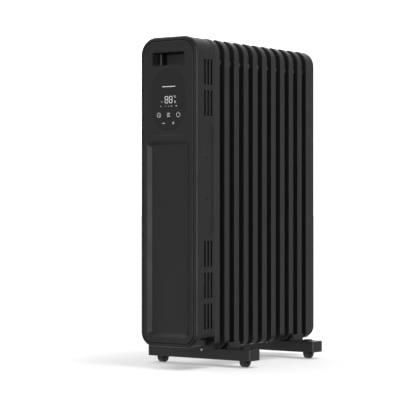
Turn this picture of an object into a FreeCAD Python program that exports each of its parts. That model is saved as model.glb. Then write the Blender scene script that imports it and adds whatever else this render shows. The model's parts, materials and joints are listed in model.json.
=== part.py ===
"""Oil filled radiator heater on four casters, with a touch control panel.

Millimetres. +Z is up and z = 0 is the floor. The fins stand in a row along +Y behind the
control casing, whose panel faces -Y. The origin is the centre of the footprint.
"""
import FreeCAD, Part
import math
import os

V = FreeCAD.Vector
UP = V(0, 0, 1)
BACK = V(0, 1, 0)
RIGHT = V(1, 0, 0)

# --- overall ------------------------------------------------------------------------------
TOP = 639.5                 # top of the fins and the casing
PITCH = 33.7                # from one fin to the next
FIN_COUNT = 11
FIRST_WEB = -151.9          # front of the first fin's web
BACK_END = 218.0            # back of the rear cover

# --- fins: two thin sheets seam welded, with an oil duct pressed round them ----------------
FIN_HALF = 65.6
FIN_LOW = 36.6
FIN_R_LOW = 15.0
FIN_R_HIGH = 32.0
FLANGE_DEPTH = 15.7         # the edge folded back round the sides and the corners
OPEN_HALF = 38.5            # the middle of the top lies lower and has no fold
OPEN_DROP = 5.0
WEB = 1.0                   # two sheets, seam welded
FLANGE = 0.7
BEND_R = 1.2
DUCT_X = 38.0               # the upright ducts' middle lines
DUCT_HALF = 12.0
HEADER_REACH = 57.0         # the upper cross duct reaches out past the upright ones
HEADER_HALF = 9.0
DUCT_FRONT = 4.5            # how far it swells from the web, forwards and backwards
DUCT_REAR = 5.7
DUCT_WALL = 0.6
DUCT_CHAMFER = 2.6
DUCT_R = 30.0               # outer corner of the duct's loop
HUB_TOP_Z = 593.0
HUB_LOW_Z = 85.0
HUB_R = 24.0
TOP_BORE = 12.0
LOW_BORE = 17.0
NIPPLE_WALL = 1.5
COVER_R_LOW = 25.0
COVER_EDGE = 4.2            # rounding of the rear cover's edge

# --- casing and front ---------------------------------------------------------------------
CASE_HALF = 67.2
CASE_LOW = 42.0
CASE_R_LOW = 28.0
CASE_R_HIGH = 34.0
CASE_FRONT = -215.4         # the casing's front lip
CASE_BACK = -154.0
CASE_WALL = 2.5
BEZEL_BACK = -206.5         # the bezel round the front stands proud of the sides
BEZEL_STEP = 0.9
SIDE_X = CASE_HALF - BEZEL_STEP
CASE_EDGE = 5.8             # rounding of the front edge
LIP = 2.7                   # width of the casing's front lip
RING_FRONT = -215.4         # the ring stands a step back from the panel
RING_OUT = 3.8              # how far the ring's edges lie in from the casing's outline
RING_IN = 7.3
RING_EDGE = 1.0
FRONT = -216.2              # the panel's face, foremost of all
PANEL_INSET = 8.3           # how far the panel's face lies in from the casing's outline
PANEL_EDGE = 2.0
PANEL_REAR = -210.5
SEAT = -212.1               # where ring, lip and panel flange meet

SHALLOW_HALF = 51.0         # the shallow field round the pocket and the touch lens
SHALLOW_LOW = 449.0
SHALLOW_HIGH = 628.5
SHALLOW_DEPTH = 0.9
SHALLOW_RAMP = 1.8
SHALLOW_R = 20.0

DEEP_HALF = 50.0            # the long field below it
DEEP_LOW = 62.0
DEEP_HIGH = 439.0
DEEP_DEPTH = 7.0
DEEP_RAMP = 7.0
DEEP_R = 9.0
SKIN = 2.0

POCKET_HALF = 37.5          # grip pocket in the front
POCKET_LOW = 584.5
POCKET_HIGH = 609.5
POCKET_BACK = -168.0
POCKET_WALL = 1.8

LENS_HALF = 40.0            # capsule shaped touch lens
LENS_LOW = 458.0
LENS_HIGH = 579.0
LENS_THICK = 1.2

VENT_Y = (-187.2, -176.2, -165.2)
VENT_WIDTH = 5.0
VENT_LENGTH = 49.2
VENT_TOPS = (595.6, 536.0, 246.6, 186.2, 126.2)
SIDE_FIELD = (258.0, 477.0, -197.6, -162.4)     # low z, high z, front y, rear y
SIDE_FIELD_DEPTH = 0.6
CAP_Z = (327.3, 405.8)
CAP_R = 4.0
NOTCH = ((-205.0, 60.5), (-155.5, 62.2), (-155.5, 45.5), (-167.0, 46.5), (-178.0, 53.5))
NOTCH_DEEP = 46.0
NOTCH_WALL = 2.0

# --- foot bars and casters ----------------------------------------------------------------
BAR_Y = {"front": -98.4, "rear": 137.5}
BAR_HALF = 123.4
BAR_LOW = 14.0
BAR_HIGH = 36.2
BAR_DEPTH = 39.4
BAR_WALL = 1.6
BAR_ROOF = 2.0
BAR_END_R = 6.5
CHEEK_IN = 71.0
CHEEK_OUT = 75.0
CHEEK_HIGH = 48.5

SWIVEL_X = 99.0
TRAIL = 1.5                 # how far each wheel's axle lies behind its stem
WHEEL_R = 12.5
WHEEL_WIDTH = 12.7
WHEEL_EDGE = 1.8
LEG_WIDTH = 9.0
LEG_THICK = 1.6
FORK_R = 12.0               # the round plate over the wheel
DOME_R = 9.5
DOME_HIGH = 2.8
AXLE_R = 2.0
STEM_R = 4.0
STEM_PROUD = 1.0            # how far each stem comes up through its bar
RUN = 0.05                  # radial clearance of a running fit
GAP = 0.5                   # side clearance of a moving piece

UBOLT_R = 2.5
BOLT_X = 11.0
BOLT_Z = 31.7
UBOLT_BEND = 21.5

# --- electrics ----------------------------------------------------------------------------
BOARD_Y = -203.0
POWER_Y = -197.0
BOARD_THICK = 1.6
TOUCH_POSTS = (452.0, 577.0)    # heights of the posts that hold each board
POWER_POSTS = (205.0, 325.0)
TOUCH_SPOTS = ((-23.0, 489.0), (0.0, 489.0), (23.0, 489.0), (-11.0, 473.6), (11.0, 473.6))
SHIELD_Y = -160.5
SHIELD_THICK = 1.0
ELEMENT_R = 4.0
ELEMENT_SPREAD = 7.0
GLAND_Z = 54.3
GLAND_Y = -167.6
GLAND_BORE = 4.0
GLAND_OUT = 5.6
TILT_X = 12.0
TILT_PIVOT_Z = 76.0
TILT_Y = -190.0


# --- shape helpers ------------------------------------------------------------------------
def box(x0, x1, y0, y1, z0, z1):
    return Part.makeBox(x1 - x0, y1 - y0, z1 - z0, V(x0, y0, z0))


def cylinder(radius, start, direction, length):
    return Part.makeCylinder(radius, length, start, direction)


def outline(half, low, high, r_low, r_high, y, middle=0.0):
    """A rounded rectangle in the plane of a fin, as a closed wire."""
    edges = []
    corners = [(middle + half, low, r_low, 1, -1), (middle + half, high, r_high, 1, 1),
               (middle - half, high, r_high, -1, 1), (middle - half, low, r_low, -1, -1)]
    ends = []
    for x, z, r, sx, sz in corners:
        along_x = V(x - sx * r, y, z)
        along_z = V(x, y, z - sz * r)
        centre = V(x - sx * r, y, z - sz * r)
        mid = centre + V(sx, 0, sz) * (r / math.sqrt(2))
        first, last = (along_x, along_z) if sx * sz < 0 else (along_z, along_x)
        ends.append((first, mid, last))
    for i, (first, mid, last) in enumerate(ends):
        edges.append(Part.Arc(first, mid, last).toShape())
        following = ends[(i + 1) % 4][0]
        if last.distanceToPoint(following) > 1e-6:
            edges.append(Part.LineSegment(last, following).toShape())
    return Part.Wire(edges)


def plate(half, low, high, r_low, r_high, y0, y1, middle=0.0):
    face = Part.Face(outline(half, low, high, r_low, r_high, y0, middle))
    return face.extrude(V(0, y1 - y0, 0))


def tapered(half, low, high, radius, y0, y1, inset):
    """A rounded rectangle that shrinks by inset from y0 to y1."""
    small = max(radius - 0.5 * inset, 1.0)
    wires = [outline(half, low, high, radius, radius, y0),
             outline(half - inset, low + inset, high - inset, small, small, y1)]
    return Part.makeLoft(wires, True, True)


def edges_at_y(shape, y):
    """The edges that lie wholly in the plane at y."""
    found = []
    for edge in shape.Edges:
        bounds = edge.BoundBox
        if abs(bounds.YMin - y) < 1e-4 and abs(bounds.YMax - y) < 1e-4:
            found.append(edge)
    return found


def mirrored(shape):
    return shape.mirror(V(0, 0, 0), RIGHT)


def moved(shape, x=0.0, y=0.0, z=0.0):
    copy = shape.copy()
    copy.translate(V(x, y, z))
    return copy


def pipe(points, radius, bend):
    """A round bar along straight runs joined by tangent arcs of one bend radius."""
    edges = []
    here = points[0]
    for i in range(1, len(points) - 1):
        before = (points[i - 1] - points[i]).normalize()
        after = (points[i + 1] - points[i]).normalize()
        turn = math.pi - before.getAngle(after)
        back_off = bend * math.tan(turn / 2)
        start = points[i] + before * back_off
        end = points[i] + after * back_off
        inward = (before + after).normalize()
        centre = points[i] + inward * (bend / math.cos(turn / 2))
        if start.distanceToPoint(here) > 1e-6:
            edges.append(Part.LineSegment(here, start).toShape())
        edges.append(Part.Arc(start, centre - inward * bend, end).toShape())
        here = end
    if here.distanceToPoint(points[-1]) > 1e-6:
        edges.append(Part.LineSegment(here, points[-1]).toShape())
    path = Part.Wire(edges)
    section = Part.Wire(Part.makeCircle(radius, points[0], points[1] - points[0]))
    return path.makePipeShell([section], True, False)


def write(node, shape):
    """One node, one file. A group of like pieces is written as a compound of solids."""
    solids = shape.Solids
    if not solids:
        raise ValueError(node + " has no solid")
    for solid in solids:
        if not solid.isValid():
            raise ValueError(node + " is not a valid solid")
    whole = solids[0] if len(solids) == 1 else Part.makeCompound(solids)
    whole.exportStep("parts/" + node + ".step")
    volume = sum(solid.Volume for solid in solids)
    print(f"{node:24s} {len(solids)} solid(s) {volume / 1000:9.2f} cm3")


# --- radiator -----------------------------------------------------------------------------
def duct(wall):
    """The duct that runs round the fin, shrunk by wall on every side for its hollow."""
    front = -DUCT_FRONT + wall
    rear = DUCT_REAR - wall
    half = DUCT_HALF - wall
    outer = plate(DUCT_X + half, HUB_LOW_Z - half, HUB_TOP_Z + half, DUCT_R - wall, DUCT_R - wall,
                  front, rear)
    inner = plate(DUCT_X - half, HUB_LOW_Z + half, HUB_TOP_Z - half, DUCT_R - 2 * DUCT_HALF + wall,
                  DUCT_R - 2 * DUCT_HALF + wall, front - 1, rear + 1)
    ring = outer.cut(inner)
    ring = ring.makeChamfer(DUCT_CHAMFER, edges_at_y(ring, front) + edges_at_y(ring, rear))
    header = plate(HEADER_REACH - wall, HUB_TOP_Z - HEADER_HALF + wall, HUB_TOP_Z + HEADER_HALF - wall,
                   HEADER_HALF - wall - 0.01, HEADER_HALF - wall - 0.01, front, rear)
    hubs = [header]
    for z in (HUB_LOW_Z, HUB_TOP_Z):
        hubs.append(cylinder(HUB_R - wall, V(0, front, z), BACK, rear - front))
    for hub in hubs:
        ring = ring.fuse(hub.makeChamfer(DUCT_CHAMFER, edges_at_y(hub, front) + edges_at_y(hub, rear)))
    return ring


def fin():
    """One fin with its web's front at y = 0."""
    blank = plate(FIN_HALF, FIN_LOW, TOP, FIN_R_LOW, FIN_R_HIGH, 0, FLANGE_DEPTH)
    blank = blank.makeFillet(BEND_R, edges_at_y(blank, 0))
    hollow = plate(FIN_HALF - FLANGE, FIN_LOW + FLANGE, TOP - FLANGE, FIN_R_LOW - FLANGE,
                   FIN_R_HIGH - FLANGE, WEB, FLANGE_DEPTH + 1)
    middle = box(-OPEN_HALF, OPEN_HALF, -1, FLANGE_DEPTH + 1, TOP - OPEN_DROP, TOP + 1)
    shape = blank.cut(hollow).cut(middle).fuse(duct(0.0)).cut(duct(DUCT_WALL))
    for z, bore in ((HUB_LOW_Z, LOW_BORE), (HUB_TOP_Z, TOP_BORE)):
        shape = shape.cut(cylinder(bore, V(0, -20, z), BACK, 40))
    return shape.removeSplitter()


def nipples(z, bore):
    """The short tubes that join the fins' ducts at one height."""
    rings = []
    for i in range(FIN_COUNT - 1):
        start = FIRST_WEB + i * PITCH + DUCT_REAR
        length = PITCH - DUCT_REAR - DUCT_FRONT
        tube = cylinder(bore + NIPPLE_WALL, V(0, start, z), BACK, length)
        rings.append(tube.cut(cylinder(bore, V(0, start - 1, z), BACK, length + 2)))
    return Part.makeCompound(rings)


def header_plugs():
    """The plugs that close the oil ducts: one on the first fin, two on the last."""
    last = FIRST_WEB + (FIN_COUNT - 1) * PITCH + DUCT_REAR
    plugs = []
    for z, bore, y, side in ((HUB_TOP_Z, TOP_BORE, FIRST_WEB - DUCT_FRONT, -1),
                             (HUB_TOP_Z, TOP_BORE, last, 1), (HUB_LOW_Z, LOW_BORE, last, 1)):
        outward = V(0, side, 0)
        disc = cylinder(bore + 4, V(0, y, z), outward, 2)
        nose = cylinder(bore - 0.2, V(0, y, z), V(0, -side, 0), 3)
        plugs.append(disc.fuse(nose).removeSplitter())
    return Part.makeCompound(plugs)


def rear_cover():
    """A dished steel cover behind the last fin's flange."""
    start = FIRST_WEB + (FIN_COUNT - 1) * PITCH + FLANGE_DEPTH
    outer = plate(FIN_HALF, FIN_LOW, TOP, COVER_R_LOW, FIN_R_HIGH, start, BACK_END)
    outer = outer.makeFillet(COVER_EDGE, edges_at_y(outer, BACK_END))
    inner = plate(FIN_HALF - 1, FIN_LOW + 1, TOP - 1, COVER_R_LOW - 1, FIN_R_HIGH - 1,
                  start - 1, BACK_END - 1)
    inner = inner.makeFillet(COVER_EDGE - 1, edges_at_y(inner, BACK_END - 1))
    return outer.cut(inner)


def heating_element(x):
    """A hairpin tube that lies in the lower duct and passes out through its flange."""
    front = FIRST_WEB - DUCT_FRONT - 16
    rear = FIRST_WEB + (FIN_COUNT - 1.5) * PITCH
    high = HUB_LOW_Z + ELEMENT_SPREAD
    low = HUB_LOW_Z - ELEMENT_SPREAD
    points = [V(x, front, high), V(x, rear, high), V(x, rear, low), V(x, front, low)]
    return pipe(points, ELEMENT_R, ELEMENT_SPREAD - 0.01)


def element_flange():
    y = FIRST_WEB - DUCT_FRONT
    flange = cylinder(LOW_BORE + 5, V(0, y - 3, HUB_LOW_Z), BACK, 3)
    flange = flange.fuse(cylinder(LOW_BORE - 0.2, V(0, y, HUB_LOW_Z), BACK, 4)).removeSplitter()
    for x in (-8.0, 8.0):
        for side in (-1, 1):
            hole = cylinder(ELEMENT_R + RUN, V(x, y - 10, HUB_LOW_Z + side * ELEMENT_SPREAD), BACK, 30)
            flange = flange.cut(hole)
    return flange


# --- casing -------------------------------------------------------------------------------
def notch(grow, deep, x_end):
    """The wedge shaped recess low in the casing's side, on the +X side."""
    points = [V(deep, y, z) for y, z in NOTCH]
    face = Part.Face(Part.makePolygon(points + [points[0]]))
    wedge = face.extrude(V(x_end - deep, 0, 0))
    if grow:
        wedge = wedge.makeOffsetShape(grow, 0.01, join=2)
    return wedge


def case_plate(inset, y0, y1):
    """A plate of the casing's outline, drawn in by inset all round."""
    return plate(CASE_HALF - inset, CASE_LOW + inset, TOP - inset, CASE_R_LOW - inset,
                 CASE_R_HIGH - inset, y0, y1)


def housing_shell():
    bezel = case_plate(0, CASE_FRONT, BEZEL_BACK)
    bezel = bezel.makeFillet(CASE_EDGE, edges_at_y(bezel, CASE_FRONT))
    outer = bezel.fuse(case_plate(BEZEL_STEP, BEZEL_BACK, CASE_BACK))
    hollow = case_plate(CASE_WALL, SEAT, CASE_BACK + 1)
    shell = outer.cut(hollow).cut(case_plate(LIP, CASE_FRONT - 1, SEAT + 1))
    behind_panel = box(0, CASE_HALF, PANEL_REAR + 1, CASE_BACK, CASE_LOW, CASE_LOW + 40)
    liner = notch(NOTCH_WALL, NOTCH_DEEP, CASE_HALF).common(outer).common(behind_panel)
    pocket = notch(0.0, NOTCH_DEEP, CASE_HALF + 5)
    for flip in (False, True):
        shell = shell.fuse(mirrored(liner) if flip else liner)
        shell = shell.cut(mirrored(pocket) if flip else pocket)
    low, high, front, rear = SIDE_FIELD
    middle = (front + rear) / 2
    radius = (rear - front) / 2
    field = box(SIDE_X - SIDE_FIELD_DEPTH, SIDE_X + 1, front, rear, low + radius, high - radius)
    for z in (low + radius, high - radius):
        start = V(SIDE_X - SIDE_FIELD_DEPTH, middle, z)
        field = field.fuse(cylinder(radius, start, RIGHT, SIDE_FIELD_DEPTH + 1))
    cuts = [field]
    for z in CAP_Z:
        cuts.append(cylinder(CAP_R, V(SIDE_X - 8, middle, z), RIGHT, 9))
    for y in VENT_Y:
        for top in VENT_TOPS:
            cuts.append(box(SIDE_X - 8, SIDE_X + 1, y - VENT_WIDTH / 2, y + VENT_WIDTH / 2,
                            top - VENT_LENGTH, top))
    for cutter in cuts:
        shell = shell.cut(cutter).cut(mirrored(cutter))
    gland_hole = cylinder(GLAND_OUT, V(-NOTCH_DEEP - 5, GLAND_Y, GLAND_Z), RIGHT, 10)
    return shell.cut(gland_hole).removeSplitter()


def trim_ring():
    ring = case_plate(RING_OUT, RING_FRONT, SEAT).cut(case_plate(RING_IN, RING_FRONT - 1, SEAT + 1))
    return ring.makeFillet(RING_EDGE, edges_at_y(ring, RING_FRONT))


def front_panel():
    face = case_plate(PANEL_INSET, FRONT, SEAT)
    face = face.makeFillet(PANEL_EDGE, edges_at_y(face, FRONT))
    panel = face.fuse(case_plate(CASE_WALL + 0.2, SEAT, PANEL_REAR))
    pan = tapered(DEEP_HALF + SKIN, DEEP_LOW - SKIN, DEEP_HIGH + SKIN, DEEP_R, FRONT + SKIN,
                  FRONT + SKIN + DEEP_DEPTH, DEEP_RAMP)
    panel = panel.fuse(pan)
    panel = panel.cut(tapered(DEEP_HALF, DEEP_LOW, DEEP_HIGH, DEEP_R, FRONT, FRONT + DEEP_DEPTH, DEEP_RAMP))
    panel = panel.cut(tapered(SHALLOW_HALF, SHALLOW_LOW, SHALLOW_HIGH, SHALLOW_R, FRONT,
                              FRONT + SHALLOW_DEPTH, SHALLOW_RAMP))
    fit = POCKET_WALL + 0.1
    panel = panel.cut(plate(POCKET_HALF + fit, POCKET_LOW - fit, POCKET_HIGH + fit, 4, 4,
                            FRONT - 1, PANEL_REAR + 1))
    seat = FRONT + SHALLOW_DEPTH
    r = LENS_HALF + 0.1
    panel = panel.cut(plate(r, LENS_LOW - 0.1, LENS_HIGH + 0.1, r - 0.01, r - 0.01, seat - 1,
                            seat + LENS_THICK))
    panel = panel.cut(box(-15, 15, FRONT, PANEL_REAR + 1, 505, 533))
    for x in (-40.0, 40.0):
        for z in TOUCH_POSTS:
            panel = panel.fuse(cylinder(3, V(x, PANEL_REAR, z), BACK, BOARD_Y - PANEL_REAR))
    pan_back = FRONT + SKIN + DEEP_DEPTH
    for x in (-38.0, 38.0):
        for z in POWER_POSTS:
            panel = panel.fuse(cylinder(3, V(x, pan_back, z), BACK, POWER_Y - pan_back))
    return panel.removeSplitter()


def grip_pocket():
    w = POCKET_WALL
    outer = plate(POCKET_HALF + w, POCKET_LOW - w, POCKET_HIGH + w, 4, 4, FRONT + SHALLOW_DEPTH,
                  POCKET_BACK + w)
    return outer.cut(plate(POCKET_HALF, POCKET_LOW, POCKET_HIGH, 2.4, 2.4, FRONT - 1, POCKET_BACK))


def touch_lens():
    front = FRONT + SHALLOW_DEPTH
    r = LENS_HALF
    return plate(r, LENS_LOW, LENS_HIGH, r - 0.01, r - 0.01, front, front + LENS_THICK)


def screw_caps():
    y = (SIDE_FIELD[2] + SIDE_FIELD[3]) / 2
    caps = []
    for z in CAP_Z:
        start = V(CASE_HALF - CASE_WALL, y, z)
        cap = cylinder(CAP_R - 0.1, start, RIGHT, SIDE_X - SIDE_FIELD_DEPTH - 0.3 - start.x)
        caps += [cap, mirrored(cap)]
    return Part.makeCompound(caps)


def heat_shield():
    sheet = case_plate(CASE_WALL + 0.1, SHIELD_Y, SHIELD_Y + SHIELD_THICK)
    sheet = sheet.cut(cylinder(LOW_BORE + 12, V(0, SHIELD_Y - 1, HUB_LOW_Z), BACK, 4))
    clear = notch(NOTCH_WALL + 0.3, NOTCH_DEEP, CASE_HALF + 5)
    return sheet.cut(clear).cut(mirrored(clear))


# --- electrics ----------------------------------------------------------------------------
def control_board():
    return box(-43, 43, BOARD_Y, BOARD_Y + BOARD_THICK, 449, 581)


def display_module():
    return box(-14.5, 14.5, FRONT + SHALLOW_DEPTH + LENS_THICK, BOARD_Y, 505.5, 532.5)


def touch_springs():
    tubes = []
    for x, z in TOUCH_SPOTS:
        tube = cylinder(3.2, V(x, PANEL_REAR, z), BACK, BOARD_Y - PANEL_REAR)
        tubes.append(tube.cut(cylinder(2.4, V(x, PANEL_REAR - 1, z), BACK, 20)))
    return Part.makeCompound(tubes)


def ir_receiver():
    body = box(-26, -19, BOARD_Y - 4, BOARD_Y, 548, 556)
    return body.fuse(cylinder(2.4, V(-22.5, BOARD_Y - 6, 552), BACK, 3))


def buzzer():
    drum = cylinder(6, V(26, BOARD_Y + BOARD_THICK, 560), BACK, 7)
    return drum.cut(cylinder(1.2, V(26, BOARD_Y + BOARD_THICK + 4, 560), BACK, 5))


def power_board():
    return box(-42, 42, POWER_Y, POWER_Y + BOARD_THICK, 200, 330)


def relays():
    blocks = []
    for x in (-27.0, 0.0, 27.0):
        blocks.append(box(x - 8, x + 8, POWER_Y + BOARD_THICK, POWER_Y + BOARD_THICK + 15, 290, 320))
    return Part.makeCompound(blocks)


def transformer():
    core = box(-34, -6, POWER_Y + BOARD_THICK, POWER_Y + BOARD_THICK + 18, 215, 240)
    return core.makeChamfer(1.0, core.Edges)


def terminal_block():
    block = box(-42, -12, SHIELD_Y - 16, SHIELD_Y, 130, 148)
    for i in range(3):
        block = block.cut(cylinder(2.6, V(-36 + i * 9, SHIELD_Y - 17, 139), BACK, 12))
    return block


def thermal_cutout():
    can = cylinder(8.5, V(30, SHIELD_Y - 6, 170), BACK, 6)
    return can.fuse(cylinder(7, V(30, SHIELD_Y - 12, 170), BACK, 6))


def room_sensor():
    floor = CASE_LOW + CASE_WALL
    clip = box(-30, -20, -196, -186, floor, floor + 6)
    return clip.fuse(cylinder(2, V(-25, -191, floor + 5), UP, 12))


def tilt_switch_body():
    """An open backed case with the pin that the pendulum hangs on."""
    floor = CASE_LOW + CASE_WALL
    case = box(TILT_X - 15, TILT_X + 15, TILT_Y - 9, TILT_Y + 9, floor, TILT_PIVOT_Z + 8)
    case = case.cut(box(TILT_X - 13, TILT_X + 13, TILT_Y - 7, TILT_Y + 10, floor + 2, TILT_PIVOT_Z + 6))
    return case.fuse(cylinder(1.5, V(TILT_X, TILT_Y - 8, TILT_PIVOT_Z), BACK, 16))


def tilt_pendulum():
    """An eye on the pin, a thin arm and a round weight."""
    thick = 6.0
    start = TILT_Y - thick / 2
    end = start + thick
    shape = cylinder(3.6, V(TILT_X, start, TILT_PIVOT_Z), BACK, thick)
    shape = shape.fuse(box(TILT_X - 1.2, TILT_X + 1.2, start, end, TILT_PIVOT_Z - 15, TILT_PIVOT_Z - 2))
    shape = shape.fuse(cylinder(5, V(TILT_X, start, TILT_PIVOT_Z - 17), BACK, thick))
    bore = cylinder(1.5 + RUN, V(TILT_X, start - 1, TILT_PIVOT_Z), BACK, thick + 2)
    return shape.cut(bore).removeSplitter()


def cable_gland():
    """The grommet that the supply cord would pass through, low on the -X side."""
    inner = -NOTCH_DEEP + NOTCH_WALL + 4
    outer = -NOTCH_DEEP - 12
    body = cylinder(GLAND_OUT, V(inner, GLAND_Y, GLAND_Z), -RIGHT, inner - outer)
    collar = cylinder(GLAND_OUT + 1.3, V(inner, GLAND_Y, GLAND_Z), -RIGHT, 3.5)
    return body.fuse(collar).cut(cylinder(GLAND_BORE, V(inner + 1, GLAND_Y, GLAND_Z), -RIGHT, 40))


def board_screws():
    screws = []
    for across, zs, y in ((40.0, TOUCH_POSTS, BOARD_Y), (38.0, POWER_POSTS, POWER_Y)):
        for x in (-across, across):
            for z in zs:
                head = cylinder(2.6, V(x, y + BOARD_THICK, z), BACK, 1.8)
                slot = box(x - 2.0, x + 2.0, y + BOARD_THICK + 1, y + BOARD_THICK + 3, z - 0.4, z + 0.4)
                screws.append(head.cut(slot))
    return Part.makeCompound(screws)


# --- feet ---------------------------------------------------------------------------------
def foot_bar(y):
    """A channel open below, with two upright cheeks that hold the fins between them."""
    half = BAR_DEPTH / 2
    bar = box(-BAR_HALF, BAR_HALF, -half, half, BAR_LOW, BAR_HIGH)
    bar = bar.makeFillet(BAR_END_R, [e for e in bar.Edges if e.BoundBox.ZLength > 10])
    bar = bar.makeFillet(2.0, [e for e in bar.Edges if e.BoundBox.ZMin > BAR_HIGH - 0.01])
    w = BAR_WALL
    hollow = box(-BAR_HALF + w, BAR_HALF - w, -half + w, half - w, BAR_LOW - 1, BAR_HIGH - BAR_ROOF)
    hollow = hollow.makeFillet(BAR_END_R - w, [e for e in hollow.Edges if e.BoundBox.ZLength > 10])
    bar = bar.cut(hollow)
    for side in (-1, 1):
        x0, x1 = sorted((side * CHEEK_IN, side * CHEEK_OUT))
        cheek = box(x0, x1, -half + 0.4, half - 0.4, BAR_HIGH - 1, CHEEK_HIGH)
        cheek = cheek.makeFillet(1.2, [e for e in cheek.Edges if e.BoundBox.ZMin > CHEEK_HIGH - 0.01])
        bar = bar.fuse(cheek)
        bar = bar.cut(cylinder(STEM_R + RUN, V(side * SWIVEL_X, 0, 20), UP, 30))
        bar = bar.cut(cylinder(UBOLT_R + 0.2, V(side * UBOLT_BEND, 0, 20), UP, 30))
    bar = bar.cut(cylinder(1.6, V(BOLT_X, -half - 1, BOLT_Z), BACK, w + 2))
    return moved(bar.removeSplitter(), y=y)


def bar_bolts():
    bolts = []
    for y in BAR_Y.values():
        face = y - BAR_DEPTH / 2
        head = cylinder(2.6, V(BOLT_X, face - 1.8, BOLT_Z), BACK, 1.8)
        head = head.makeFillet(0.8, edges_at_y(head, face - 1.8))
        bolts.append(head.fuse(cylinder(1.6, V(BOLT_X, face, BOLT_Z), BACK, 6)))
    return Part.makeCompound(bolts)


def u_bolts():
    """The bows that go over the lower nipples and hold the bars up against the fins."""
    bows = []
    for y in BAR_Y.values():
        r = UBOLT_BEND
        low = BAR_HIGH - BAR_ROOF - 9
        top = HUB_LOW_Z + r
        points = [V(-r, y, low), V(-r, y, top), V(r, y, top), V(r, y, low)]
        bows.append(pipe(points, UBOLT_R, r - 0.01))
    return Part.makeCompound(bows)


def wing_nuts():
    nuts = []
    high = BAR_HIGH - BAR_ROOF
    for y in BAR_Y.values():
        for x in (-UBOLT_BEND, UBOLT_BEND):
            nut = cylinder(5.2, V(x, y, high - 7), UP, 7)
            nut = nut.fuse(box(x - 11, x + 11, y - 1, y + 1, high - 11, high - 2))
            nuts.append(nut.cut(cylinder(UBOLT_R + 0.1, V(x, y, 0), UP, high + 1)))
    return Part.makeCompound(nuts)


def swivel_caps():
    """Low domes on the bars that cover the casters' stems."""
    caps = []
    for y in BAR_Y.values():
        for side in (-1, 1):
            dome = cylinder(DOME_R, V(side * SWIVEL_X, y, BAR_HIGH), UP, DOME_HIGH)
            dome = dome.makeFillet(0.8 * DOME_HIGH, [e for e in dome.Edges if e.BoundBox.ZMin > BAR_HIGH + 1])
            well = cylinder(STEM_R + 1, V(side * SWIVEL_X, y, BAR_HIGH - 1), UP, STEM_PROUD + 1.5)
            caps.append(dome.cut(well))
    return Part.makeCompound(caps)


def caster_fork(x, y):
    """A stem, a round plate and two legs that hold the axle just behind the stem."""
    roof = BAR_HIGH - BAR_ROOF
    plate_low = 2 * WHEEL_R + 2
    shape = cylinder(FORK_R, V(x, y, plate_low), UP, 2.6)
    shape = shape.fuse(cylinder(8, V(x, y, plate_low), UP, roof - 0.3 - plate_low))
    shape = shape.fuse(cylinder(STEM_R, V(x, y, plate_low), UP, BAR_HIGH + STEM_PROUD - plate_low))
    axle_y = y + TRAIL
    inner = WHEEL_WIDTH / 2 + GAP
    half = LEG_WIDTH / 2
    for side in (-1, 1):
        x0, x1 = sorted((x + side * inner, x + side * (inner + LEG_THICK)))
        leg = box(x0, x1, axle_y - half, axle_y + half, WHEEL_R, plate_low + 0.5)
        shape = shape.fuse(leg.fuse(cylinder(half, V(x0, axle_y, WHEEL_R), RIGHT, x1 - x0)))
    hole = cylinder(AXLE_R + 0.02, V(x - 20, axle_y, WHEEL_R), RIGHT, 40)
    return shape.cut(hole).removeSplitter()


def caster_axle(x, y):
    """A pin with a low round head at each end."""
    half = WHEEL_WIDTH / 2 + GAP + LEG_THICK
    pin = cylinder(AXLE_R, V(x - half, y, WHEEL_R), RIGHT, 2 * half)
    for side in (-1, 1):
        pin = pin.fuse(cylinder(3.2, V(x + side * half, y, WHEEL_R), RIGHT * side, 0.8))
    return pin.removeSplitter()


def caster_wheel(x, y):
    half = WHEEL_WIDTH / 2
    wheel = cylinder(WHEEL_R, V(x - half, y, WHEEL_R), RIGHT, WHEEL_WIDTH)
    rims = [e for e in wheel.Edges if e.BoundBox.XLength < 1e-4]
    wheel = wheel.makeFillet(WHEEL_EDGE, rims)
    return wheel.cut(cylinder(AXLE_R + RUN, V(x - half - 1, y, WHEEL_R), RIGHT, WHEEL_WIDTH + 2))


def main():
    os.makedirs("parts", exist_ok=True)
    blank_fin = fin()
    for i in range(FIN_COUNT):
        write(f"fin_{i + 1:02d}", moved(blank_fin, y=FIRST_WEB + i * PITCH))
    write("upper_nipples", nipples(HUB_TOP_Z, TOP_BORE))
    write("lower_nipples", nipples(HUB_LOW_Z, LOW_BORE))
    write("header_plugs", header_plugs())
    write("rear_cover", rear_cover())
    write("heating_element_left", heating_element(-8.0))
    write("heating_element_right", heating_element(8.0))
    write("element_flange", element_flange())
    write("heat_shield", heat_shield())
    write("housing_shell", housing_shell())
    write("trim_ring", trim_ring())
    write("front_panel", front_panel())
    write("grip_pocket", grip_pocket())
    write("touch_lens", touch_lens())
    write("screw_caps", screw_caps())
    write("control_board", control_board())
    write("display_module", display_module())
    write("touch_springs", touch_springs())
    write("ir_receiver", ir_receiver())
    write("buzzer", buzzer())
    write("power_board", power_board())
    write("relays", relays())
    write("transformer", transformer())
    write("board_screws", board_screws())
    write("terminal_block", terminal_block())
    write("thermal_cutout", thermal_cutout())
    write("room_sensor", room_sensor())
    write("tilt_switch_body", tilt_switch_body())
    write("tilt_pendulum", tilt_pendulum())
    write("cable_gland", cable_gland())
    for name, y in BAR_Y.items():
        write("foot_bar_" + name, foot_bar(y))
        for hand, side in (("left", -1), ("right", 1)):
            label = f"{name}_{hand}"
            x = side * SWIVEL_X
            write("caster_fork_" + label, caster_fork(x, y))
            write("caster_axle_" + label, caster_axle(x, y + TRAIL))
            write("caster_wheel_" + label, caster_wheel(x, y + TRAIL))
    write("bar_bolts", bar_bolts())
    write("u_bolts", u_bolts())
    write("wing_nuts", wing_nuts())
    write("swivel_caps", swivel_caps())


main()
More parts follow.
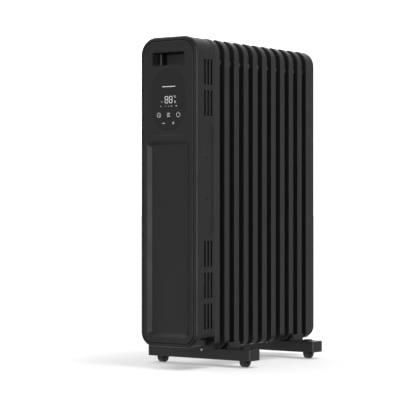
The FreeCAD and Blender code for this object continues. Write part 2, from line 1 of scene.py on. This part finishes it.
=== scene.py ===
"""Looks for the oil filled radiator heater: materials, lit figures, pocket ribs, light and camera."""
import json
import math

import bmesh
import bpy
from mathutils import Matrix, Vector


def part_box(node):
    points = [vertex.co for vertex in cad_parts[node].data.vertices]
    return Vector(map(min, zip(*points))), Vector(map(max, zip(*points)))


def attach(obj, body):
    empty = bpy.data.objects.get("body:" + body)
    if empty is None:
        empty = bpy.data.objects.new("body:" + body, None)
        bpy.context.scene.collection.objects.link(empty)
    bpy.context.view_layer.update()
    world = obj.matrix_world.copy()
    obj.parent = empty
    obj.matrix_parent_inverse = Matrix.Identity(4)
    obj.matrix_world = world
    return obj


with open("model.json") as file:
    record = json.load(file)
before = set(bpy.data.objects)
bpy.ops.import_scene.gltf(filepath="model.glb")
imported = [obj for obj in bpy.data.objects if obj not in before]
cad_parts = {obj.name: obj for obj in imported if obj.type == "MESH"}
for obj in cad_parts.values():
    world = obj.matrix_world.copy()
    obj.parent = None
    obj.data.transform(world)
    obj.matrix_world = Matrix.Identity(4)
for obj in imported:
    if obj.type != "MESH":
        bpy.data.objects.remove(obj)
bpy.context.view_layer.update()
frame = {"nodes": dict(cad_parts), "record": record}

nodes = frame["nodes"]
MM = 0.001


# --- material building blocks -------------------------------------------------------------
def new_material(name):
    mat = bpy.data.materials.new(name)
    mat.use_nodes = True
    tree = mat.node_tree
    tree.nodes.clear()
    out = tree.nodes.new("ShaderNodeOutputMaterial")
    shader = tree.nodes.new("ShaderNodeBsdfPrincipled")
    tree.links.new(shader.outputs["BSDF"], out.inputs["Surface"])
    return mat, tree, shader


def object_point(tree, stretch=(1, 1, 1)):
    """Object coordinates in metres, stretched where a texture should be drawn out."""
    coords = tree.nodes.new("ShaderNodeTexCoord")
    mapping = tree.nodes.new("ShaderNodeMapping")
    mapping.inputs["Scale"].default_value = stretch
    tree.links.new(coords.outputs["Object"], mapping.inputs["Vector"])
    return mapping.outputs["Vector"]


def noise(tree, point, size, detail=2.0, rough=0.5):
    """Noise whose lumps are about size metres across."""
    node = tree.nodes.new("ShaderNodeTexNoise")
    node.inputs["Scale"].default_value = 1.0 / size
    node.inputs["Detail"].default_value = detail
    node.inputs["Roughness"].default_value = rough
    tree.links.new(point, node.inputs["Vector"])
    return node.outputs["Fac"]


def ranged(tree, value, low, high, from_low=0.3, from_high=0.7):
    """A value between from_low and from_high, stretched to run from low to high."""
    node = tree.nodes.new("ShaderNodeMapRange")
    node.inputs["From Min"].default_value = from_low
    node.inputs["From Max"].default_value = from_high
    node.inputs["To Min"].default_value = low
    node.inputs["To Max"].default_value = high
    tree.links.new(value, node.inputs["Value"])
    return node.outputs["Result"]


def colour_between(tree, value, first, second):
    """A mix from first, which is a colour or a node's output, to the colour second."""
    node = tree.nodes.new("ShaderNodeMix")
    node.data_type = "RGBA"
    if isinstance(first, bpy.types.NodeSocket):
        tree.links.new(first, node.inputs["A"])
    else:
        node.inputs["A"].default_value = (*first, 1)
    node.inputs["B"].default_value = (*second, 1)
    tree.links.new(value, node.inputs["Factor"])
    return node.outputs["Result"]


def scaled(colour, factor):
    return tuple(channel * factor for channel in colour)


def mottled(tree, value, colour, darkest, palest):
    """A colour that varies with value, between two factors of its brightness."""
    return colour_between(tree, ranged(tree, value, 0, 1), scaled(colour, darkest), scaled(colour, palest))


def bump(tree, height, depth, normal=None):
    """Relief of so many metres, on top of an earlier relief where one is given."""
    node = tree.nodes.new("ShaderNodeBump")
    node.inputs["Distance"].default_value = depth
    tree.links.new(height, node.inputs["Height"])
    if normal is not None:
        tree.links.new(normal, node.inputs["Normal"])
    return node.outputs["Normal"]


# --- kinds of material --------------------------------------------------------------------
def moulded_plastic(name, colour, rough, grain=0.0006, depth=0.00004):
    """Moulded plastic with a spark eroded grain, faint flow marks and handling bloom."""
    mat, tree, shader = new_material(name)
    point = object_point(tree)
    flow = noise(tree, point, size=0.06, detail=3)
    tree.links.new(mottled(tree, flow, colour, 0.9, 1.1), shader.inputs["Base Color"])
    bloom = noise(tree, object_point(tree, (1, 1, 0.35)), size=0.025, detail=4, rough=0.6)
    tree.links.new(ranged(tree, bloom, rough - 0.05, rough + 0.05), shader.inputs["Roughness"])
    fine = noise(tree, point, size=grain, detail=2, rough=0.7)
    tree.links.new(bump(tree, fine, depth), shader.inputs["Normal"])
    return mat


def powder_coat(name, colour, rough):
    """Baked powder coat: slight orange peel, fine speckle and a lighter edge, a painted highlight with a
    little wear.
    """
    mat, tree, shader = new_material(name)
    point = object_point(tree)
    speckle = noise(tree, point, size=0.0009, detail=3, rough=0.8)
    coat = mottled(tree, speckle, colour, 0.85, 1.15)
    # edges found by pointiness are painted paler: a painted highlight along bends and rims, with a little
    # wear
    edge = tree.nodes.new("ShaderNodeNewGeometry").outputs["Pointiness"]
    edge_wear_and_highlight = ranged(tree, edge, 0, 1, from_low=0.52, from_high=0.62)
    tint = colour_between(tree, edge_wear_and_highlight, coat, scaled(colour, 1.35))
    tree.links.new(tint, shader.inputs["Base Color"])
    peel = bump(tree, noise(tree, point, size=0.0035, detail=1, rough=0.4), 0.00005)
    tree.links.new(bump(tree, speckle, 0.00002, normal=peel), shader.inputs["Normal"])
    patch = noise(tree, point, size=0.05, detail=3)
    tree.links.new(ranged(tree, patch, rough - 0.05, rough + 0.06), shader.inputs["Roughness"])
    return mat


def metal(name, colour, rough, streak=(1, 1, 1)):
    """Bare or plated metal with a cloudy sheen, drawn into streaks where streak isn't even."""
    mat, tree, shader = new_material(name)
    shader.inputs["Metallic"].default_value = 1.0
    lines = noise(tree, object_point(tree, streak), size=0.002, detail=4, rough=0.7)
    tree.links.new(mottled(tree, lines, colour, 0.8, 1.0), shader.inputs["Base Color"])
    tree.links.new(ranged(tree, lines, rough - 0.08, rough + 0.12), shader.inputs["Roughness"])
    tree.links.new(bump(tree, lines, 0.00003), shader.inputs["Normal"])
    return mat


def smooth_lens(name, colour):
    """A hard, smooth touch lens with faint finger bloom."""
    mat, tree, shader = new_material(name)
    point = object_point(tree)
    smear = noise(tree, point, size=0.012, detail=4, rough=0.65)
    tree.links.new(mottled(tree, smear, colour, 0.95, 1.06), shader.inputs["Base Color"])
    tree.links.new(ranged(tree, smear, 0.22, 0.34), shader.inputs["Roughness"])
    shader.inputs["Specular IOR Level"].default_value = 0.42
    wave = noise(tree, point, size=0.02, detail=1)
    tree.links.new(bump(tree, wave, 0.00002), shader.inputs["Normal"])
    return mat


def lit_figure(name, strength):
    """A lit figure: white light with faint cooler patches along its strokes."""
    mat, tree, shader = new_material(name)
    glow = noise(tree, object_point(tree), size=0.004, detail=2)
    tint = colour_between(tree, ranged(tree, glow, 0, 1), (0.86, 0.93, 1.0), (1, 1, 1))
    tree.links.new(tint, shader.inputs["Base Color"])
    tree.links.new(tint, shader.inputs["Emission Color"])
    shader.inputs["Emission Strength"].default_value = strength
    shader.inputs["Roughness"].default_value = 0.4
    return mat


def circuit_board(name):
    """Green solder resist with copper tracks that show as slightly paler lines."""
    mat, tree, shader = new_material(name)
    point = object_point(tree)
    tracks = tree.nodes.new("ShaderNodeTexBrick")
    tracks.inputs["Scale"].default_value = 90
    tracks.inputs["Mortar Size"].default_value = 0.03
    tracks.inputs["Color1"].default_value = (0.012, 0.06, 0.03, 1)
    tracks.inputs["Color2"].default_value = (0.014, 0.07, 0.033, 1)
    tracks.inputs["Mortar"].default_value = (0.03, 0.13, 0.06, 1)
    tree.links.new(point, tracks.inputs["Vector"])
    tree.links.new(tracks.outputs["Color"], shader.inputs["Base Color"])
    varnish = noise(tree, point, size=0.003)
    tree.links.new(ranged(tree, varnish, 0.25, 0.4), shader.inputs["Roughness"])
    return mat


# --- the finish of each material slot ------------------------------------------------------
BLACK = (0.0125, 0.0125, 0.013)
FINISHES = {
    "fin_steel": powder_coat("powder coated steel", scaled(BLACK, 1.25), 0.42),
    "bar_steel": powder_coat("powder coated bar", scaled(BLACK, 1.1), 0.38),
    "casing_plastic": moulded_plastic("casing plastic", BLACK, 0.46),
    "panel_plastic": moulded_plastic("panel plastic", BLACK, 0.44),
    "trim_plastic": moulded_plastic("trim plastic", BLACK, 0.34, grain=0.0004, depth=0.00001),
    "pocket_plastic": moulded_plastic("pocket plastic", scaled(BLACK, 0.9), 0.5),
    "lens_plastic": smooth_lens("touch lens", scaled(BLACK, 0.7)),
    "wheel_plastic": moulded_plastic("wheel nylon", scaled(BLACK, 0.9), 0.4, grain=0.0008),
    "fork_plastic": moulded_plastic("fork nylon", scaled(BLACK, 0.9), 0.45, grain=0.0008),
    "component": moulded_plastic("component plastic", (0.02, 0.02, 0.022), 0.4),
    "grommet_rubber": moulded_plastic("grommet rubber", scaled(BLACK, 0.8), 0.7, grain=0.0005),
    "board": circuit_board("circuit board"),
    "bare_steel": metal("zinc plated steel", (0.62, 0.62, 0.60), 0.32),
    "element_steel": metal("element sheath", (0.35, 0.34, 0.33), 0.38, streak=(1, 0.05, 1)),
    "contact_brass": metal("turned brass", (0.72, 0.55, 0.28), 0.3),
}
# a dark metal for the caster pins, much darker than the zinc plated steel of their slot
DARK_PIN_METAL = metal("dark caster pin", (0.035, 0.035, 0.036), 0.45)
# paler grey for the pocket's back plate and post: painted light, standing in for light that reaches into
# the pocket
POCKET_PAINTED_LIGHT = moulded_plastic("pocket back painted light", (0.18, 0.18, 0.184), 0.6)
LIT = lit_figure("lit figure", 0.5)
# printed signs given a faint emission: a painted glow, since print is no lamp
PRINT_WITH_PAINTED_GLOW = lit_figure("printed sign with painted glow", 0.24)


def finish_of(node, slot):
    """The slot's finish, apart from the casters' dark pins and the soft plugs."""
    if node.startswith("caster_axle"):
        return DARK_PIN_METAL
    if node == "screw_caps":
        return FINISHES["grommet_rubber"]
    return FINISHES[slot]


for entry in frame["record"]["subparts"]:
    obj = nodes[entry["node"]]
    finish = finish_of(entry["node"], entry["material_slot"])
    if not obj.material_slots:
        obj.data.materials.append(finish)
    for place in obj.material_slots:
        place.material = finish


# --- mesh helpers -------------------------------------------------------------------------
def mesh_object(name, mesh_maker, finish):
    """An object whose mesh is made by a bmesh function."""
    mesh = bpy.data.meshes.new(name)
    bm = bmesh.new()
    mesh_maker(bm)
    bmesh.ops.recalc_face_normals(bm, faces=bm.faces)
    bm.to_mesh(mesh)
    bm.free()
    obj = bpy.data.objects.new(name, mesh)
    bpy.context.scene.collection.objects.link(obj)
    mesh.materials.append(finish)
    return obj


def piece(name, mesh_maker, finish, body="radiator"):
    """A mesh object that rides on a body."""
    obj = mesh_object(name, mesh_maker, finish)
    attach(obj, body)


def slab(bm, outline, y_front, y_back):
    """A flat prism: outline is a list of (x, z) and the thickness runs along Y."""
    front = [bm.verts.new((x, y_front, z)) for x, z in outline]
    back = [bm.verts.new((x, y_back, z)) for x, z in outline]
    bm.faces.new(front)
    bm.faces.new(list(reversed(back)))
    count = len(outline)
    for i in range(count):
        j = (i + 1) % count
        bm.faces.new((front[j], front[i], back[i], back[j]))


CAP_STEPS = 4                       # straight edges in the round end of a stroke


def stroke_outline(points, half):
    """The outline of a round ended stroke along a line of points, half is half its width."""
    left, right = [], []
    count = len(points)
    for i, (x, z) in enumerate(points):
        ax, az = points[max(i - 1, 0)]
        bx, bz = points[min(i + 1, count - 1)]
        length = math.hypot(bx - ax, bz - az)
        nx, nz = -(bz - az) / length, (bx - ax) / length
        left.append((x + nx * half, z + nz * half))
        right.append((x - nx * half, z - nz * half))

    def cap(centre, start):
        angle = math.atan2(start[1] - centre[1], start[0] - centre[0])
        turn = [angle - math.pi * k / CAP_STEPS for k in range(1, CAP_STEPS)]
        return [(centre[0] + half * math.cos(t), centre[1] + half * math.sin(t)) for t in turn]

    return left + cap(points[-1], left[-1]) + list(reversed(right)) + cap(points[0], right[0])


def arc_points(x, z, radius, start, end, steps):
    """Points along an arc, from one angle in degrees to another."""
    turn = [math.radians(start + (end - start) * k / steps) for k in range(steps + 1)]
    return [(x + radius * math.cos(t), z + radius * math.sin(t)) for t in turn]


def ring(bm, x, z, outer, inner, y_front, y_back, steps):
    """A flat closed ring, made of quads. Returns its vertices."""
    rows = []
    for radius, y in ((outer, y_front), (inner, y_front), (inner, y_back), (outer, y_back)):
        loop = []
        for k in range(steps):
            t = 2 * math.pi * k / steps
            loop.append(bm.verts.new((x + radius * math.cos(t), y, z + radius * math.sin(t))))
        rows.append(loop)
    for a in range(4):
        first, second = rows[a], rows[(a + 1) % 4]
        for k in range(steps):
            n = (k + 1) % steps
            bm.faces.new((first[k], first[n], second[n], second[k]))
    return [v for loop in rows for v in loop]


def soft_block(bm, low, high, soften):
    """A block from its lowest to its highest corner, with rounded edges."""
    corners = bmesh.ops.create_cube(bm, size=1.0)["verts"]
    for v in corners:
        v.co = Vector([high[i] if v.co[i] > 0 else low[i] for i in range(3)])
    edges = [e for e in bm.edges if e.verts[0] in corners]
    bmesh.ops.bevel(bm, geom=edges, offset=soften, segments=2, affect="EDGES", profile=0.5)


# --- lit figures on the touch lens: millimetres from the lens's middle ----------------------
lens_low, lens_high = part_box("touch_lens")
LENS_MIDDLE = (lens_low.z + lens_high.z) / 2
FIGURE_FRONT = lens_low.y - 0.12 * MM
FIGURE_BACK = lens_low.y + 0.2 * MM


def strokes(bm, lines, half):
    for line in lines:
        points = [(x * MM, LENS_MIDDLE + z * MM) for x, z in line]
        slab(bm, stroke_outline(points, half * MM), FIGURE_FRONT, FIGURE_BACK)


def lens_ring(bm, x, z, outer, inner, steps):
    ring(bm, x * MM, LENS_MIDDLE + z * MM, outer * MM, inner * MM, FIGURE_FRONT, FIGURE_BACK, steps)


THIN = 0.3                          # half the width of the finer strokes
DIGIT_PLACES = (-4.3, 5.9)
DIGIT_HEIGHT = -0.3                 # of the digits' middles
DIGIT_WIDE, DIGIT_TALL = 6.8, 12.6
DIGIT_STROKE = 0.45                 # half the width of a segment
SEGMENT_GAP = 1.1                   # from a corner of the digit to the end of a segment
LAMP_ROW = -12.9
LAMPS = ((-17.9, 1.1), (-6.7, 0.7), (0.7, 0.8), (7.4, 1.2), (19.0, 1.3))    # place, half width
KEY_ROW = -29.5                     # clock, waves and power
CLOCK, WAVES, POWER = -22.2, 0.7, 23.5
WAVE_GAP, WAVE_HALF, WAVE_SWING = 2.9, 3.6, 0.8
STEP_ROW = -45.5                    # minus and plus
PLUS, PLUS_HALF = 11.6, 2.4
NAME_ROW = 24.9


def digits(bm):
    """Two seven segment figures, all segments lit."""
    low = DIGIT_HEIGHT - DIGIT_TALL / 2
    high = DIGIT_HEIGHT + DIGIT_TALL / 2
    for middle in DIGIT_PLACES:
        left = middle - DIGIT_WIDE / 2
        right = middle + DIGIT_WIDE / 2
        lines = [[(left + SEGMENT_GAP, z), (right - SEGMENT_GAP, z)] for z in (low, DIGIT_HEIGHT, high)]
        for x in (left, right):
            for start, end in ((low, DIGIT_HEIGHT), (DIGIT_HEIGHT, high)):
                lines.append([(x, start + SEGMENT_GAP), (x, end - SEGMENT_GAP)])
        strokes(bm, lines, DIGIT_STROKE)


def small_signs(bm):
    """Degree C and h beside the figures, a small mark at their left and the row of lamps below."""
    lens_ring(bm, 13.6, 6.3, 0.8, 0.4, 20)
    strokes(bm, [arc_points(16.6, 4.9, 1.6, 50, 310, 10)], THIN)
    strokes(bm, [[(15.4, -6.9), (15.4, -2.1)]], THIN)
    strokes(bm, [[(15.4, -4.3), (16.6, -3.9), (17.4, -4.7), (17.4, -6.9)]], THIN)
    strokes(bm, [[(-16.2, -4.7), (-14.4, -4.7)], [(-15.3, -4.7), (-15.3, -2.9)]], THIN)
    for x, half in LAMPS:
        strokes(bm, [[(x - half * 0.6, LAMP_ROW), (x + half * 0.6, LAMP_ROW)]], half * 0.5)


def touch_signs(bm):
    """Clock, waves, power, minus and plus."""
    z = KEY_ROW
    lens_ring(bm, CLOCK, z, 4.6, 4.0, 40)
    strokes(bm, [[(CLOCK, z + 2.6), (CLOCK, z), (CLOCK + 2.0, z - 1.2)]], THIN)
    for row in (-WAVE_GAP, 0.0, WAVE_GAP):
        steps = [k * 0.5 - WAVE_HALF for k in range(15)]
        wave = [(WAVES + x, z + row + WAVE_SWING * math.sin(x * 1.3)) for x in steps]
        strokes(bm, [wave], THIN)
    strokes(bm, [arc_points(POWER, z - 0.4, 4.2, 122, 418, 28)], THIN)
    strokes(bm, [[(POWER, z + 1.6), (POWER, z + 5.0)]], THIN)
    z = STEP_ROW
    strokes(bm, [[(-13.8, z), (-8.2, z)]], 0.4)
    strokes(bm, [[(PLUS - PLUS_HALF, z), (PLUS + PLUS_HALF, z)]], 0.35)
    strokes(bm, [[(PLUS, z - PLUS_HALF), (PLUS, z - 0.5)], [(PLUS, z + 0.5), (PLUS, z + PLUS_HALF)]], 0.35)


def name_bar(bm):
    """A plain bar above the digits."""
    strokes(bm, [[(-14.0, NAME_ROW), (16.0, NAME_ROW)]], 0.6)


piece("figures", digits, LIT)
piece("small_signs", small_signs, PRINT_WITH_PAINTED_GLOW)
piece("touch_signs", touch_signs, PRINT_WITH_PAINTED_GLOW)
piece("name_bar", name_bar, PRINT_WITH_PAINTED_GLOW)


# --- ribs, post and back plate in the grip pocket ------------------------------------------
pocket_low, pocket_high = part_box("grip_pocket")
LINER = 1.8 * MM                    # thickness of the pocket's liner
BITE = 0.4 * MM                     # how far a rib or post reaches into the liner
RIB_END = 2.4 * MM                  # from the liner's outside to the end of a rib or post
RIBS, FIRST_RIB, RIB_PITCH = 6, 4.0 * MM, 3.6 * MM
PLATE_INSET = 2.0 * MM              # from the liner's outside to the edge of the back plate


def upright(bm, start, thick, proud, soften):
    """An upright on the -X wall of the pocket, start is its distance from the pocket's mouth."""
    wall = pocket_low.x + LINER
    low = (wall - BITE, pocket_low.y + start, pocket_low.z + RIB_END)
    high = (wall + proud, pocket_low.y + start + thick, pocket_high.z - RIB_END)
    soft_block(bm, low, high, soften)


def pocket_ribs(bm):
    for k in range(RIBS):
        upright(bm, FIRST_RIB + RIB_PITCH * k, 1.6 * MM, 0.9 * MM, 0.35 * MM)


def pocket_post(bm):
    """The post behind the ribs, painted a paler grey as painted light."""
    upright(bm, 24 * MM, 4.5 * MM, 2.4 * MM, 0.7 * MM)


def pocket_back(bm):
    """The plate at the back of the pocket, painted a paler grey than its walls as painted light for the
    light that reaches in.
    """
    back = pocket_high.y - LINER
    low = (pocket_low.x + PLATE_INSET, back - 0.8 * MM, pocket_low.z + PLATE_INSET)
    high = (pocket_high.x - PLATE_INSET, back + 0.3 * MM, pocket_high.z - PLATE_INSET)
    soft_block(bm, low, high, 0.3 * MM)


piece("pocket_ribs", pocket_ribs, FINISHES["pocket_plastic"])
piece("pocket_post", pocket_post, POCKET_PAINTED_LIGHT)
piece("pocket_back", pocket_back, POCKET_PAINTED_LIGHT)


# --- rims round the screw caps ------------------------------------------------------------
caps_low, caps_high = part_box("screw_caps")
CAP_RADIUS = 4 * MM
RIM_OUTER = CAP_RADIUS + 0.5 * MM
RIM_INNER = CAP_RADIUS - 0.9 * MM
RIM_SUNK, RIM_PROUD = 0.1 * MM, 0.55 * MM


def cap_rims(bm):
    """Low rims round the two caps on each side, turned from rings that face along Y."""
    middle = (caps_low.y + caps_high.y) / 2
    for side, face in ((-1, caps_low.x), (1, caps_high.x)):
        for z in (caps_low.z + CAP_RADIUS, caps_high.z - CAP_RADIUS):
            for v in ring(bm, 0, z, RIM_OUTER, RIM_INNER, -RIM_SUNK, RIM_PROUD, 32):
                v.co = Vector((face + side * v.co.y, middle + v.co.x, v.co.z))


piece("cap_rims", cap_rims, FINISHES["trim_plastic"])


# --- floor --------------------------------------------------------------------------------
FLOOR_HALF = 40
PAPER_GREYS = (0.59, 0.61)
PAPER_GLOW = 0.6


def paper(name):
    """Backdrop paper, lit from behind a little so that it stays white to its far edge."""
    mat, tree, shader = new_material(name)
    fibre = noise(tree, object_point(tree), size=0.8, detail=2)
    dark, pale = [(grey, grey, grey) for grey in PAPER_GREYS]
    tint = colour_between(tree, fibre, dark, pale)
    tree.links.new(tint, shader.inputs["Base Color"])
    shader.inputs["Roughness"].default_value = 0.9
    shader.inputs["Specular IOR Level"].default_value = 0.0
    tree.links.new(tint, shader.inputs["Emission Color"])
    shader.inputs["Emission Strength"].default_value = PAPER_GLOW
    return mat


def floor_sheet(bm):
    bmesh.ops.create_grid(bm, x_segments=1, y_segments=1, size=FLOOR_HALF)


floor = mesh_object("floor", floor_sheet, paper("floor paper"))
floor.visible_diffuse = False
floor.visible_glossy = False


# --- light --------------------------------------------------------------------------------
def direction(azimuth, elevation):
    """A unit vector: azimuth 0 looks along -Y, where the panel faces, and 90 along +X."""
    a, e = math.radians(azimuth), math.radians(elevation)
    return (math.sin(a) * math.cos(e), -math.cos(a) * math.cos(e), math.sin(e))


def sun(name, azimuth, elevation, spread, strength):
    """A wide soft sun that shades the floor without showing as a highlight."""
    data = bpy.data.lights.new(name, "SUN")
    data.angle = math.radians(spread)
    data.energy = strength
    light = bpy.data.objects.new(name, data)
    light.rotation_euler = Vector(direction(azimuth, elevation)).to_track_quat("Z", "Y").to_euler()
    light.visible_glossy = False
    bpy.context.scene.collection.objects.link(light)


def arithmetic(tree, operation, first, second):
    """A sum, product or the like of two values, each a float or a node's output."""
    node = tree.nodes.new("ShaderNodeMath")
    node.operation = operation
    for socket, value in zip(node.inputs, (first, second)):
        if isinstance(value, float):
            socket.default_value = value
        else:
            tree.links.new(value, socket)
    return node.outputs[0]


def soft_patch(tree, sky, azimuth, elevation, full, none, strength):
    """A soft edged patch of light: whole within full degrees of its middle, gone by none."""
    dot = tree.nodes.new("ShaderNodeVectorMath")
    dot.operation = "DOT_PRODUCT"
    dot.inputs[1].default_value = direction(azimuth, elevation)
    tree.links.new(sky, dot.inputs[0])
    fade = tree.nodes.new("ShaderNodeMapRange")
    fade.interpolation_type = "SMOOTHSTEP"
    fade.inputs["From Min"].default_value = math.cos(math.radians(none))
    fade.inputs["From Max"].default_value = math.cos(math.radians(full))
    fade.inputs["To Max"].default_value = strength
    tree.links.new(dot.outputs["Value"], fade.inputs["Value"])
    return fade.outputs["Result"]


SKY_BASE = 0.14
SKY_PATCHES = (                     # azimuth, elevation, whole within, gone by, strength
    (5, 10, 30, 70, 0.34),
    (66, 4, 12, 30, 3.1),
    (-38, 12, 20, 45, 0.18),
    (145, 8, 25, 55, 0.27),
    (-132, 10, 32, 56, 1.6),
    (-100, 58, 15, 40, 1.3),
)
GROUND_PATCHES = (                  # pale floor in front and beside, seen from below
    (-60, -55, 25, 60, 0.6),
    (150, -42, 12, 38, 0.35),
)
GROUND_DIM = 0.3                    # what is left of the sky's light far below the horizon
DIM_FROM, DIM_TO = 0.05, -0.7       # heights on the unit sphere between which it dims


def make_world():
    """White to the eye, and a dim studio with soft boxes of light to everything else."""
    world = bpy.data.worlds.new("studio")
    world.use_nodes = True
    tree = world.node_tree
    sky = tree.nodes.new("ShaderNodeTexCoord").outputs["Generated"]
    total = SKY_BASE
    for patch in SKY_PATCHES:
        total = arithmetic(tree, "ADD", soft_patch(tree, sky, *patch), total)
    split = tree.nodes.new("ShaderNodeSeparateXYZ")
    tree.links.new(sky, split.inputs[0])
    above = ranged(tree, split.outputs["Z"], GROUND_DIM, 1.0, from_low=DIM_TO, from_high=DIM_FROM)
    total = arithmetic(tree, "MULTIPLY", total, above)
    for patch in GROUND_PATCHES:
        total = arithmetic(tree, "ADD", soft_patch(tree, sky, *patch), total)
    seen = tree.nodes.new("ShaderNodeLightPath").outputs["Is Camera Ray"]
    background = tree.nodes["Background"]
    tree.links.new(arithmetic(tree, "MAXIMUM", total, seen), background.inputs["Strength"])
    background.inputs["Color"].default_value = (1, 1, 1, 1)
    bpy.context.scene.world = world


make_world()
sun("key", azimuth=100, elevation=66, spread=30, strength=2.05)
bpy.context.scene.view_settings.view_transform = "Standard"
bpy.context.scene.view_settings.look = "None"


# --- camera: level, a little under three metres and a half away ------------------------------
CAMERA_PLACE = (1.8799, -2.7899, 0.3140)
CAMERA_TURN = 35.04
camera_data = bpy.data.cameras.new("camera")
camera_data.sensor_width = 36
camera_data.lens = 149.3
camera_data.shift_y = 0.0148
camera_data.dof.use_dof = False
camera = bpy.data.objects.new("camera", camera_data)
camera.location = CAMERA_PLACE
camera.rotation_euler = (math.radians(90), 0, math.radians(CAMERA_TURN))
bpy.context.scene.collection.objects.link(camera)
bpy.context.scene.camera = camera
